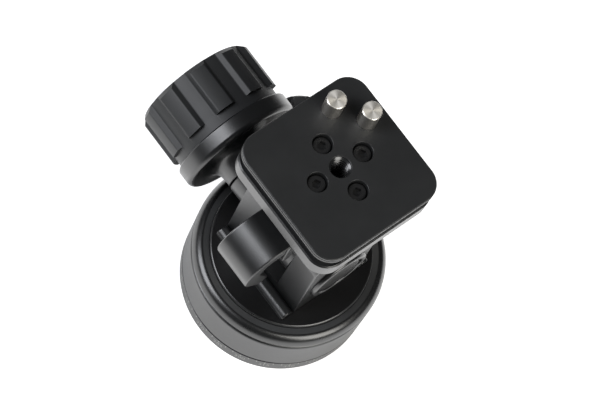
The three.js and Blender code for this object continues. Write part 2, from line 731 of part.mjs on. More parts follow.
// Tilting bracket: boss on the axis, neck, hook and lower plate in one solid
function addBracket() {
  let body = rodX(tongueBossRadius, -tongueHalfWidth, tongueHalfWidth, 0, tiltAxisZ, midSteps);
  const plateInside = lowerPlateZ + plateChamfer + rimBreak;
  body = body.add(block(
    -tongueHalfWidth, tongueHalfWidth, -neckHalfDepth, neckHalfDepth, tiltAxisZ, plateInside,
  ));
  body = body.add(extrudedX(hookOutline(), -tongueHalfWidth, tongueHalfWidth, hookBevel));
  const plate = roundedSquare(plateSide, plateCornerRadius);
  body = body.add(extrudedZ(plate, lowerPlateZ, lowerPlateTopZ, plateChamfer));
  const recessX = tongueHalfWidth - frictionRecess;
  const recess = frictionOuterRadius + fitGap;
  body = body.subtract(rodX(recess, recessX, tongueHalfWidth + cutOver, 0, tiltAxisZ, midSteps));
  body = body.subtract(rodX(recess, -tongueHalfWidth - cutOver, -recessX, 0, tiltAxisZ, midSteps));
  const bore = bushOuterRadius + fitGap;
  body = body.subtract(rodX(bore, -tongueHalfWidth, tongueHalfWidth, 0, tiltAxisZ, smallSteps));
  const over = lowerPlateTopZ + cutOver;
  body = body.subtract(rodZ(cameraThreadRadius, cameraThreadFloorZ, over, 0, 0, smallSteps));
  for (const [x, y] of platformScrewPlaces()) {
    const hole = smallScrewRadius + fitGap;
    body = body.subtract(rodZ(hole, platformScrewTipZ - seatGap, over, x, y, smallSteps));
  }
  piece(head, 'tilt_bracket', body, blackAnodised);
}

function platformScrewPlaces() {
  const reach = platformScrewReach;
  return [[reach, 0], [0, reach], [-reach, 0], [0, -reach]];
}

// Camera platform with its four screws and two index pins
function addPlatform() {
  const neckSide = plateSide - 2 * platformNeckInset;
  const neckCorner = plateCornerRadius - platformNeckInset;
  const flange = roundedSquare(plateSide, plateCornerRadius);
  let plate = extrudedZ(flange, platformNeckTopZ, platformTopZ, plateChamfer);
  const neckTop = platformNeckTopZ + plateChamfer + rimBreak;
  plate = plate.add(extrudedZ(roundedSquare(neckSide, neckCorner), platformZ, neckTop, 0));
  const over = platformTopZ + cutOver;
  plate = plate.subtract(rodZ(cameraThreadRadius, platformZ - cutOver, over, 0, 0, midSteps));
  const mouthDepth = cameraThreadMouthRadius - cameraThreadRadius;
  plate = plate.subtract(coneZ(
    cameraThreadRadius, cameraThreadMouthRadius, platformTopZ - mouthDepth, platformTopZ, 0, 0, midSteps,
  ));
  const screw = capScrew(platformHeadZ - platformScrewTipZ);
  platformScrewPlaces().forEach(([x, y], i) => {
    const hole = smallScrewRadius + fitGap;
    plate = plate.subtract(rodZ(counterboreRadius, counterboreFloorZ, over, x, y, smallSteps));
    plate = plate.subtract(rodZ(hole, platformZ - cutOver, over, x, y, smallSteps));
    piece(head, `platform_screw_${i + 1}`, screw, blackSteel).position.set(x, y, platformHeadZ);
  });
  const pinZ = platformTopZ + seatGap;
  const pin = turnedZ([
    [0, -pinShankLength],
    [pinShankRadius, -pinShankLength],
    [pinShankRadius, 0],
    [pinRadius, 0],
    [pinRadius, pinHeight - pinEdge],
    [pinRadius - pinEdge, pinHeight],
    [0, pinHeight],
  ], smallSteps);
  [[pinOneX, pinOneY], [pinTwoX, pinTwoY]].forEach(([x, y], i) => {
    const floor = pinZ - pinShankLength - fitGap;
    plate = plate.subtract(rodZ(pinShankRadius + fitGap, floor, over, x, y, smallSteps));
    piece(head, `index_pin_${i + 1}`, pin, stainless).position.set(x, y, pinZ);
  });
  piece(head, 'platform_plate', plate, blackAnodised);
}

// Knob core with its flared neck and collar, the thrust washer, nut, ribbed grip and cap
function addTiltKnob() {
  const thrustBore = thrustOuterRadius + fitGap;
  const thrustFloorX = thrustX - thrustThickness - seatGap;
  let core = turnedX([
    [shaftBoreRadius, knobHubEndX],
    [knobHubRadius, knobHubEndX],
    [knobHubRadius, collarEndX],
    [collarRadius - collarRound, collarEndX],
    [collarRadius, collarEndX + collarRound],
    [collarRadius, collarStartX - collarRound],
    [collarRadius - collarRound, collarStartX],
    [knobDishRadius - collarRound, knobDishX],
    [knobFlareRadius, knobFlareX],
    [knobNeckRadius, (knobFlareX + knobStartX) / 2],
    [knobNeckRadius, knobStartX],
    [thrustBore, knobStartX],
    [thrustBore, thrustFloorX],
    [shaftBoreRadius, thrustFloorX],
  ], bigSteps);
  const pocket = knobNutAcross + 2 * fitGap;
  const pocketX = knobHubEndX + knobNutThickness;
  core = core.subtract(hexX(pocket, knobHubEndX - cutOver, pocketX + seatGap, 0, 0));
  piece(tiltAxis, 'tilt_knob_core', core, satinKnob);

  const thrust = ringX(shaftBoreRadius, thrustOuterRadius, thrustX - thrustThickness, thrustX, midSteps);
  piece(tiltAxis, 'tilt_thrust_washer', thrust, bronze);

  const nut = hexX(knobNutAcross, knobHubEndX, pocketX, 0, 0);
  const thread = rodX(shaftBoreRadius, knobHubEndX - cutOver, pocketX + cutOver, 0, 0, smallSteps);
  piece(tiltAxis, 'tilt_knob_nut', nut.subtract(thread), zincSteel);

  const skirtX = collarEndX - seatGap;
  const hubBore = knobHubRadius + fitGap;
  const lipX = knobHubEndX - seatGap;
  const capSeatX = lipX - gripLipThickness;
  let grip = extrudedX(gripOutline(), gripEndX, skirtEndX, gripRadius - gripGrooveRadius);
  grip = grip.add(rodX(skirtRadius, skirtEndX - cutOver, skirtX, 0, 0, bigSteps));
  grip = grip.subtract(rodX(hubBore, lipX, skirtX + cutOver, 0, 0, midSteps));
  grip = grip.subtract(rodX(gripLipRadius, gripEndX - cutOver, skirtX, 0, 0, midSteps));
  grip = grip.subtract(rodX(knobCapRadius + fitGap, gripEndX - cutOver, capSeatX, 0, 0, midSteps));
  piece(tiltAxis, 'tilt_knob_grip', grip, satinKnob);

  const capX = capSeatX - seatGap;
  const cap = turnedX([
    [0, capX - knobCapThickness],
    [knobCapRadius - rimChamfer, capX - knobCapThickness],
    [knobCapRadius, capX - knobCapThickness + rimChamfer],
    [knobCapRadius, capX],
    [0, capX],
  ], midSteps);
  piece(tiltAxis, 'tilt_knob_cap', cap, satinKnob);
}

// Section of the grip: wide lands with shallow grooves between them
function gripOutline() {
  const pitch = 2 * Math.PI / gripLands;
  const landHalf = pitch * gripLandShare / 2;
  const flank = pitch * gripFlankShare;
  const outline = [];
  for (let i = 0; i < gripLands; i += 1) {
    const middle = gripFirstLandDegrees * degrees + i * pitch;
    const grooveStart = middle + landHalf + flank;
    const grooveEnd = middle + pitch - landHalf - flank;
    outline.push(...arcPoints(0, 0, gripRadius, middle - landHalf, middle + landHalf));
    outline.push(...arcPoints(0, 0, gripGrooveRadius, grooveStart, grooveEnd));
  }
  return outline;
}

// Pan lock, drawn along the X axis of its own turned group
function addPanLock() {
  const shoe = turnedX([
    [0, shoeTipReach],
    [shoeTipRadius, shoeTipReach],
    [shoeRadius, shoeTipReach + shoeRadius - shoeTipRadius],
    [shoeRadius, shoeEndReach],
    [0, shoeEndReach],
  ], smallSteps);
  piece(panLock, 'pan_brake_shoe', shoe, acetal);
  const stud = rodX(studRadius, shoeEndReach + fitGap, studEndReach, 0, 0, smallSteps);
  piece(panLock, 'pan_lock_stud', stud, zincSteel);

  const bodyStart = panKnobStartReach + panKnobNeckLength;
  let knob = turnedX([
    [0, panKnobStartReach],
    [panKnobNeckRadius, panKnobStartReach],
    [panKnobNeckRadius, bodyStart],
    [panKnobRadius - panKnobEdge, bodyStart],
    [panKnobRadius, bodyStart + panKnobEdge],
    [panKnobRadius, panKnobEndReach - panKnobEdge],
    [panKnobRadius - panKnobEdge, panKnobEndReach],
    [0, panKnobEndReach],
  ], midSteps);
  for (let i = 0; i < panKnobFlutes; i += 1) {
    const turn = i * 2 * Math.PI / panKnobFlutes;
    const y = panKnobRadius * Math.cos(turn);
    const z = panKnobRadius * Math.sin(turn);
    const start = bodyStart + 2 * panKnobEdge;
    knob = knob.subtract(rodX(panKnobFluteRadius, start, panKnobEndReach + cutOver, y, z, smallSteps / 2));
  }
  const boreStart = panKnobStartReach - cutOver;
  const bore = rodX(studRadius + fitGap, boreStart, studEndReach + fitGap, 0, 0, smallSteps);
  piece(panLock, 'pan_lock_knob', knob.subtract(bore), satinKnob);
}

addBase();
addPanBearings();
addDrum();
addPedestal();
addTiltShaft();
addBracket();
addPlatform();
addTiltKnob();
addPanLock();

export default head;
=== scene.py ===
"""Monopod head: the visible pieces, finishes, floor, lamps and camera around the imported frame.

Pieces are modelled in millimetres in the frame of the CAD and scaled to metres when they are finished.
"""

import json
import math

import bmesh
import bpy
from mathutils import Matrix, Vector
from mathutils.geometry import interpolate_bezier


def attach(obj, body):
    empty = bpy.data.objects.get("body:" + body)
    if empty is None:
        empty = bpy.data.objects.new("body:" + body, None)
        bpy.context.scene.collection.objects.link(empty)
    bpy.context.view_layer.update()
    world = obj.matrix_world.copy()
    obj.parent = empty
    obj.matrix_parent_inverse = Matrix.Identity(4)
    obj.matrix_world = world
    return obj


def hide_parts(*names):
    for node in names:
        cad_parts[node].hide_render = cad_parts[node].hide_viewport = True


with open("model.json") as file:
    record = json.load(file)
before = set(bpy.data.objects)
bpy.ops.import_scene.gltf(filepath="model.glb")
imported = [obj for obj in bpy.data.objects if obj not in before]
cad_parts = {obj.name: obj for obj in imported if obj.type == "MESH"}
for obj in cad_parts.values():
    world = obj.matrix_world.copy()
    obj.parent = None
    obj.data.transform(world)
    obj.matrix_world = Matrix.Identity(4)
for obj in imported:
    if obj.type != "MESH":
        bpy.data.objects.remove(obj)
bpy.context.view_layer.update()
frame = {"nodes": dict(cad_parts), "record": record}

bl_info = {
    "name": "Monopod head pieces",
    "version": (1, 0, 0),
    "blender": (4, 5, 0),
    "location": "3D View > Sidebar > Monopod head",
    "description": "Builds the pieces, finishes and stage of a monopod head",
    "category": "Object",
}

MM = 0.001
WELD = 0.0002
FULL_TURN = 2 * math.pi
ROUND_STEPS = 240
KNOB_STEPS = 128
BORE_STEPS = 96
SMALL_STEPS = 72
THREAD_STEPS = 48
ARC_CHORD = 0.35
CORNER_SEGMENTS = 5
PLATE_CORNER_SEGMENTS = 20
SHARP_DEGREES = 28
CUT_OVER = 1.0

# Turns that lay a piece drawn along Z on to the tilt axis (X) or the pan lock's radius
Z_TO_X = Matrix.Rotation(math.radians(90), 3, 'Y')
OUTLINE_TO_SIDE = Matrix(((0, 0, 1), (1, 0, 0), (0, 1, 0)))


# Sizes and colours


def size(name, description, millimetres):
    """A length property whose default is written in millimetres."""
    return bpy.props.FloatProperty(
        name=name, description=description, default=millimetres * MM, min=0, unit='LENGTH', precision=5)


def linear(code):
    """Turn an sRGB hex colour into linear red, green and blue."""
    channels = [int(code[i:i + 2], 16) / 255 for i in (1, 3, 5)]
    return [c / 12.92 if c <= 0.04045 else ((c + 0.055) / 1.055) ** 2.4 for c in channels]


def colour(name, description, code):
    """A colour property whose default is written as sRGB hex."""
    return bpy.props.FloatVectorProperty(
        name=name, description=description, default=linear(code), min=0, max=1, subtype='COLOR')


class HeadDrumSettings(bpy.types.PropertyGroup):
    """Sizes of the turning drum and its scale ring"""
    radius: size("Drum radius", "Outer radius of the drum and the scale ring", 30)
    seam: size("Seam", "Gap between the scale ring and the drum", 0.5)
    tick_length: size("Tick length", "Length of the degree marks", 1.2)
    numeral_height: size("Numeral height", "Height of the scale's numbers", 1.7)
    tick_step: bpy.props.IntProperty(name="Tick step", description="Degrees between marks", default=5, min=1)
    numeral_step: bpy.props.IntProperty(
        name="Numeral step", description="Degrees between numbers", default=15, min=5)


class HeadBracketSettings(bpy.types.PropertyGroup):
    """Sizes of the pedestal and the tilting bracket"""
    ear_chamfer: size("Ear chamfer", "Chamfer along the pedestal's ears", 0.6)
    hook_radius: size("Hook radius", "Outer radius of the open hook", 10.7)
    hook_bore: size("Hook bore", "Radius of the hook's bore", 5.2)
    hook_chamfer: size("Hook rim", "Rounding along the hook's rims", 0.6)


class HeadPlatformSettings(bpy.types.PropertyGroup):
    """Sizes of the camera platform"""
    side: size("Side", "Side of the square platform", 42.8)
    corner: size("Corner radius", "Radius of the platform's corners", 6.3)
    chamfer: size("Chamfer", "Chamfer along the platform's top edge", 0.3)
    pin_radius: size("Pin radius", "Radius of the two index pins", 2.9)


class HeadKnobSettings(bpy.types.PropertyGroup):
    """Sizes of the clamping knob"""
    radius: size("Grip radius", "Radius over the grip's lands", 19.2)
    groove: size("Groove depth", "Depth of the grooves between the lands", 1.5)
    lands: bpy.props.IntProperty(name="Lands", description="Lands round the grip", default=10, min=3)


class HeadFinishSettings(bpy.types.PropertyGroup):
    """Colours of the finishes"""
    anodised: colour("Anodised black", "Dyed oxide film on the aluminium", "#151617")
    platform: colour("Platform black", "Longer blasted film on the platform", "#1a1b1c")
    rubber: colour("Grip black", "Moulded grip", "#2a2b2c")
    zinc: colour("Zinc", "Zinc plated steel", "#a9abac")
    stainless: colour("Stainless", "Turned stainless steel", "#f0ece4")
    oxide: colour("Black oxide", "Blackened screws", "#0e0e0f")
    # The disc's black is darkened as painted shade: it stands for the shade the platform and bracket cast on
    # the disc
    disc: colour("Disc black", "Deep black of the disc inside the bead ring", "#0c0c0d")
    # The ring's lighter grey is painted light: it stands for the lamp light its turned flat catches
    ring: colour("Ring grey black", "Bead ring's flat, turned matt", "#2e2f30")
    bead: colour("Bead black", "Polished bead of the ring", "#101112")
    bronze: colour("Bronze", "Sintered bronze", "#9a7442")
    acetal: colour("Acetal", "Natural acetal", "#d9d6cc")
    paint: colour("Scale paint", "White fill of the scale marks", "#9fa09d")
    floor: colour("Floor", "Pale studio floor", "#e4e4e4")


# Making solids


def outlined(corners):
    """Fill an outline of (across, along) corners; a third number cuts the corner back and rounds it."""
    bm = bmesh.new()
    verts = [bm.verts.new((corner[0], 0, corner[1])) for corner in corners]
    bm.faces.new(verts)
    for vert, corner in zip(verts, corners):
        if len(corner) > 2:
            bmesh.ops.bevel(
                bm, geom=[vert], offset=corner[2], offset_type='OFFSET', segments=CORNER_SEGMENTS,
                profile=0.5, affect='VERTICES', material=-1, clamp_overlap=False)
    return bm


def turned(corners, steps=ROUND_STEPS):
    """Spin an outline of (radius, along) corners into a solid round the Z axis."""
    bm = outlined(corners)
    bmesh.ops.delete(bm, geom=bm.faces[:], context='FACES_ONLY')
    on_axis = [e for e in bm.edges if all(abs(v.co.x) < WELD for v in e.verts)]
    bmesh.ops.delete(bm, geom=on_axis, context='EDGES')
    bmesh.ops.spin(
        bm, geom=bm.verts[:] + bm.edges[:], cent=(0, 0, 0), axis=(0, 0, 1), angle=FULL_TURN,
        steps=steps, use_merge=True)
    return welded(bm)


def welded(bm):
    """Merge doubled points and point the faces outwards."""
    bmesh.ops.remove_doubles(bm, verts=bm.verts[:], dist=WELD)
    bmesh.ops.dissolve_degenerate(bm, edges=bm.edges[:], dist=WELD / 10)
    return outward(bm)


def outward(bm):
    """Point the faces of a closed solid outwards."""
    bmesh.ops.recalc_face_normals(bm, faces=bm.faces[:])
    if bm.calc_volume(signed=True) < 0:
        bmesh.ops.reverse_faces(bm, faces=bm.faces[:])
    return bm


def drawn(start, moves):
    """Draw a filled outline: a move is a point to go to, or a centre and the degrees to turn about it."""
    bm = bmesh.new()
    pen = bm.verts.new((*start, 0))
    for move in moves:
        if len(move) == 2:
            pen = bmesh.ops.extrude_vert_indiv(bm, verts=[pen])["verts"][0]
            pen.co = (*move, 0)
            continue
        centre = Vector((move[0], move[1], 0))
        angle = math.radians(move[2])
        steps = max(4, math.ceil(abs(angle) * (pen.co - centre).length / ARC_CHORD))
        spun = bmesh.ops.spin(bm, geom=[pen], cent=centre, axis=(0, 0, 1), angle=angle, steps=steps)
        pen = [v for v in spun["geom_last"] if isinstance(v, bmesh.types.BMVert)][0]
    bmesh.ops.remove_doubles(bm, verts=bm.verts[:], dist=WELD)
    bmesh.ops.contextual_create(bm, geom=bm.edges[:])
    return bm


def prism(bm, length):
    """Extrude a filled outline along Z."""
    grown = bmesh.ops.extrude_face_region(bm, geom=bm.faces[:], use_keep_orig=True)["geom"]
    verts = [v for v in grown if isinstance(v, bmesh.types.BMVert)]
    bmesh.ops.translate(bm, vec=(0, 0, length), verts=verts)
    return welded(bm)


def eased(bm, edges, width, segments):
    """Break edges with a chamfer of one segment or a rounding of more."""
    bmesh.ops.bevel(
        bm, geom=edges, offset=width, segments=segments, profile=0.5, affect='EDGES', material=-1,
        clamp_overlap=False)


def stacked(side, corner, levels):
    """Build a rounded square plate from levels of (height, inset), bridged from one to the next."""
    bm = bmesh.new()
    below = None
    for height, inset in levels:
        known = set(bm.edges)
        verts = bmesh.ops.create_grid(bm, x_segments=1, y_segments=1, size=side / 2 - inset)["verts"]
        bmesh.ops.translate(bm, vec=(0, 0, height), verts=verts)
        bmesh.ops.bevel(
            bm, geom=verts, offset=corner - inset, offset_type='OFFSET', segments=PLATE_CORNER_SEGMENTS,
            profile=0.5, affect='VERTICES', material=-1, clamp_overlap=False)
        level = [e for e in bm.edges if e not in known]
        inner = {f for e in level for f in e.link_faces}
        if below is not None:
            if height != levels[-1][0] or inset != levels[-1][1]:
                bmesh.ops.delete(bm, geom=list(inner), context='FACES_ONLY')
            bmesh.ops.bridge_loops(bm, edges=below + level)
        below = level
    return welded(bm)


def block(low, high):
    """A plain block between two corners, used to join or cut solids."""
    bm = bmesh.new()
    bmesh.ops.create_cube(bm, size=1)
    low, high = Vector(low), Vector(high)
    bmesh.ops.scale(bm, vec=high - low, verts=bm.verts[:])
    bmesh.ops.translate(bm, vec=(low + high) / 2, verts=bm.verts[:])
    return bm


def rod(radius, low, high, x=0, y=0, steps=SMALL_STEPS, top_radius=None):
    """A rod or cone along Z, used to join or cut solids."""
    bm = bmesh.new()
    top = radius if top_radius is None else top_radius
    bmesh.ops.create_cone(
        bm, cap_ends=True, segments=steps, radius1=radius, radius2=top, depth=high - low)
    bmesh.ops.translate(bm, vec=(x, y, (low + high) / 2), verts=bm.verts[:])
    return bm


def hexagon(across, low, high):
    """A hexagonal rod along Z, by its size across flats."""
    return rod(across / math.sqrt(3), low, high, steps=6)


def placed(bm, turn=None, move=(0, 0, 0)):
    """Turn a solid about the origin, then move it."""
    if turn is not None:
        bmesh.ops.rotate(bm, cent=(0, 0, 0), matrix=turn, verts=bm.verts[:])
    bmesh.ops.translate(bm, vec=move, verts=bm.verts[:])
    return bm


def on_tilt_axis(bm):
    """Lay a solid that was made along Z on to the tilt axis."""
    return placed(bm, Z_TO_X, (0, 0, TILT_Z))


def on_pan_lock(bm):
    """Lay a solid that was made along Z on to the pan lock's radius."""
    turn = Matrix.Rotation(math.radians(PAN_LOCK_DEGREES), 3, 'Z') @ Z_TO_X
    return placed(bm, turn, (0, 0, BRAKE_Z))


def joined(solids):
    """Put solids that don't touch into one bmesh."""
    bm = bmesh.new()
    for solid in solids:
        mesh = bpy.data.meshes.new("working")
        solid.to_mesh(mesh)
        solid.free()
        bm.from_mesh(mesh)
        bpy.data.meshes.remove(mesh)
    return bm


def combined(body, tool, operation):
    """Join (UNION), cut (DIFFERENCE) or overlap (INTERSECT) two solids with the exact boolean solver."""
    things = []
    for solid in (body, tool):
        mesh = bpy.data.meshes.new("working")
        outward(solid).to_mesh(mesh)
        solid.free()
        thing = bpy.data.objects.new("working", mesh)
        bpy.context.scene.collection.objects.link(thing)
        things.append(thing)
    modifier = things[0].modifiers.new("Boolean", 'BOOLEAN')
    modifier.operation = operation
    modifier.solver = 'EXACT'
    modifier.object = things[1]
    graph = bpy.context.evaluated_depsgraph_get()
    result = bmesh.new()
    result.from_mesh(things[0].evaluated_get(graph).data)
    for thing in things:
        mesh = thing.data
        bpy.data.objects.remove(thing)
        bpy.data.meshes.remove(mesh)
    if not result.faces:
        raise RuntimeError("A boolean left nothing")
    return result


def within_one_end(edge):
    """Whether an edge stays at one place along X, so that it belongs to one end of a side outline."""
    return abs(edge.verts[0].co.x - edge.verts[1].co.x) < WELD


def thread_ridge(outer, inner, pitch, low, high):
    """A helical ridge inside a tapped hole: a section with a flat crest, spun with a rise at every step."""
    turns = (high - low) / pitch - 1
    bm = bmesh.new()
    section = [(outer, 0.03), (inner, 0.24), (inner, 0.56), (outer, 0.97)]
    bm.faces.new([bm.verts.new((radius, 0, low + share * pitch)) for radius, share in section])
    bmesh.ops.spin(
        bm, geom=bm.verts[:] + bm.edges[:] + bm.faces[:], cent=(0, 0, 0), axis=(0, 0, 1),
        dvec=(0, 0, pitch / THREAD_STEPS), angle=FULL_TURN * turns, steps=round(THREAD_STEPS * turns))
    bmesh.ops.holes_fill(bm, edges=[e for e in bm.edges if e.is_boundary], sides=4)
    return welded(bm)


def second(bm, test):
    """Give the faces that pass a test the piece's second material."""
    for face in bm.faces:
        face.material_index = 1 if test(face) else 0


def finished(bm, name, body, nodes, material, also=None):
    """Turn a solid into a named piece in metres that rides on a body and stands for CAD nodes."""
    bmesh.ops.scale(bm, vec=(MM, MM, MM), verts=bm.verts[:])
    mesh = bpy.data.meshes.new(name)
    bm.to_mesh(mesh)
    bm.free()
    mesh.polygons.foreach_set("use_smooth", [True] * len(mesh.polygons))
    mesh.set_sharp_from_angle(angle=math.radians(SHARP_DEGREES))
    mesh.materials.append(bpy.data.materials[material])
    if also:
        mesh.materials.append(bpy.data.materials[also])
    piece = bpy.data.objects.new(name, mesh)
    bpy.context.scene.collection.objects.link(piece)
    shading = piece.modifiers.new("Even shading", 'WEIGHTED_NORMAL')
    shading.keep_sharp = True
    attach(piece, body)
    if nodes:
        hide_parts(*nodes)


# Heights and places shared by several pieces, in millimetres
TILT_Z = 45.0
TONGUE_HALF_WIDTH = 6.9
BRAKE_Z = 14.6
PAN_LOCK_DEGREES = 135
SCALE_TOP_Z = 6.0
DISC_BOTTOM_Z = 24.8
DISC_TOP_Z = 27.92
DISC_SCREW_CIRCLE = 21.035
DISC_SCREW_DEGREES = (75, 195, 315)
FOOT_SCREWS = [(x, y) for x in (-11.9, 11.9) for y in (-7, 7)]
PLATFORM_BOTTOM_Z = 89.3
PLATFORM_TOP_Z = 95.8
PLATFORM_SCREW_REACH = 8.17
PLATFORM_SCREWS = [(8.17, 0), (0, 8.17), (-8.17, 0), (0, -8.17)]
PINS = [(-15.04, 8.49), (-6.93, 14.92)]


# Finishes

# Share by which a surface's roughness wanders either way
GLOSS_SPREAD = 0.12


def node(tree, kind, settings=None, links=None):
    """Add a node, set its properties and input values, and link sockets to its inputs."""
    made = tree.nodes.new(kind)
    for name, value in (settings or {}).items():
        if isinstance(name, int) or name in made.inputs:
            made.inputs[name].default_value = value
        else:
            setattr(made, name, value)
    for name, socket in (links or {}).items():
        tree.links.new(socket, made.inputs[name])
    return made


def new_tree(name):
    """A new material's empty node tree with its output node and object coordinates."""
    material = bpy.data.materials.new(name)
    material.use_nodes = True
    tree = material.node_tree
    tree.nodes.clear()
    output = node(tree, 'ShaderNodeOutputMaterial')
    place = node(tree, 'ShaderNodeTexCoord').outputs["Object"]
    return tree, output, place


def surface(name, base, rough, grain_mm, relief_mm, stretch=(1, 1, 1), **shader):
    """A procedural finish: fine grain in the relief, and slow changes of colour and gloss.

    grain_mm is the size of the grain, relief_mm its height, and stretch draws it out along an axis.
    """
    tree, output, place = new_tree(name)
    grained = node(tree, 'ShaderNodeMapping', {"Scale": stretch}, {"Vector": place})
    grain = node(
        tree, 'ShaderNodeTexNoise', {"Scale": 1 / (grain_mm * MM), "Detail": 3, "Roughness": 0.6},
        {"Vector": grained.outputs["Vector"]})
    cloud = node(
        tree, 'ShaderNodeTexNoise', {"Scale": 1 / (9 * MM), "Detail": 4, "Roughness": 0.55},
        {"Vector": place})
    tint = node(
        tree, 'ShaderNodeMapRange', {"To Min": 0.86, "To Max": 1.14}, {"Value": cloud.outputs["Fac"]})
    tinted = node(
        tree, 'ShaderNodeVectorMath', {"operation": 'SCALE', 0: base[:3]},
        {"Scale": tint.outputs["Result"]})
    reach = rough * GLOSS_SPREAD
    gloss = node(
        tree, 'ShaderNodeMapRange', {"To Min": rough - reach, "To Max": rough + reach},
        {"Value": cloud.outputs["Fac"]})
    bump = node(
        tree, 'ShaderNodeBump', {"Strength": 1, "Distance": relief_mm * MM},
        {"Height": grain.outputs["Fac"]})
    links = {
        "Base Color": tinted.outputs["Vector"],
        "Roughness": gloss.outputs["Result"],
        "Normal": bump.outputs["Normal"],
    }
    principled = node(tree, 'ShaderNodeBsdfPrincipled', shader, links)
    tree.links.new(principled.outputs["BSDF"], output.inputs["Surface"])


class HeadFinishes(bpy.types.Operator):
    """Make the materials and give the inner CAD pieces theirs"""
    bl_idname = "monopod_head.finishes"
    bl_label = "Finishes"

    def execute(self, context):
        tones = context.scene.head_finishes
        # Anodised aluminium, bead blasted: the eye sees the dyed oxide film, a black glassy layer that
        # mirrors softly at low angles, over the fine frost of the blast
        surface("black_anodised_blasted", tones.anodised, 0.32, 0.35, 0.004, IOR=1.77)
        # The same film on the platform, blasted longer: a little greyer, more matt and less of a mirror
        surface("black_anodised_platform", tones.platform, 0.48, 0.35, 0.004, IOR=1.6)
        # The same film on turned aluminium: finer, with faint rings from the lathe along the axis
        surface(
            "black_anodised_turned", tones.anodised, 0.3, 0.3, 0.003, stretch=(1, 0.02, 0.02), IOR=1.77)
        # The disc's film is smoother, and its colour is darkened as painted shade from the platform and
        # bracket above it, so it stays the blackest face
        surface("black_anodised_disc_painted_shade", tones.disc, 0.3, 0.35, 0.004, IOR=1.6)
        # The ring's flat is turned after the blast, with fine circles; its lighter grey is painted light,
        # for the lamp light the turned flat catches
        surface("black_anodised_ring_painted_light", tones.ring, 0.42, 0.3, 0.003, IOR=1.77, Anisotropic=0.5)
        # Its bead is smoothed before the dye: dark, with a clear soft highlight along the curve
        surface("black_anodised_polished", tones.bead, 0.28, 0.3, 0.001, IOR=1.77)
        # The film inside a tapped hole, cut clean by the tap: smooth and glossy
        surface("black_anodised_tapped", tones.anodised, 0.24, 0.6, 0.0005, IOR=1.77)
        # Moulded glass-filled nylon: a dull black skin with the fine texture of the mould
        surface("black_nylon_moulded", tones.rubber, 0.48, 0.4, 0.005, IOR=1.53)
        # Zinc plated steel: grey, slightly cloudy metal
        surface("zinc_plated_steel", tones.zinc, 0.36, 0.3, 0.004, Metallic=1)
        # Black oxide on steel screws: an oiled, thin black layer that keeps the steel's smoothness
        surface("black_oxide_steel", tones.oxide, 0.42, 0.25, 0.003, IOR=1.7)
        # Sintered bronze: brown metal with the pores of the powder
        surface("sintered_bronze", tones.bronze, 0.45, 0.2, 0.01, Metallic=1)
        # Machined acetal: an even, waxy white
        surface("machined_acetal", tones.acetal, 0.5, 0.5, 0.004, IOR=1.48)
        # White scale paint, filled into engraved marks: chalky, without gloss
        surface("white_scale_paint", tones.paint, 0.6, 0.2, 0.002, IOR=1.5)
        # Stainless steel turned on its end: rings of the tool draw the light out into two fans
        surface(
            "stainless_faced", tones.stainless, 0.6, 0.5, 0.002, Metallic=1, Anisotropic=0.6)
        # The pins' sides are ground along their length: smoother than the faced ends
        surface("stainless_ground", tones.stainless, 0.3, 0.4, 0.001, stretch=(1, 1, 0.05), Metallic=1)
        by_slot = {
            "black_anodised": "black_anodised_blasted",
            "knob_aluminium": "black_anodised_turned",
            "knob_plastic": "black_nylon_moulded",
            "zinc_steel": "zinc_plated_steel",
            "stainless_pin": "stainless_ground",
            "black_screw": "black_oxide_steel",
            "bronze": "sintered_bronze",
            "acetal": "machined_acetal",
        }
        for subpart in frame["record"]["subparts"]:
            for place in frame["nodes"][subpart["node"]].material_slots:
                place.material = bpy.data.materials[by_slot[subpart["material_slot"]]]
        return {'FINISHED'}


# Pieces


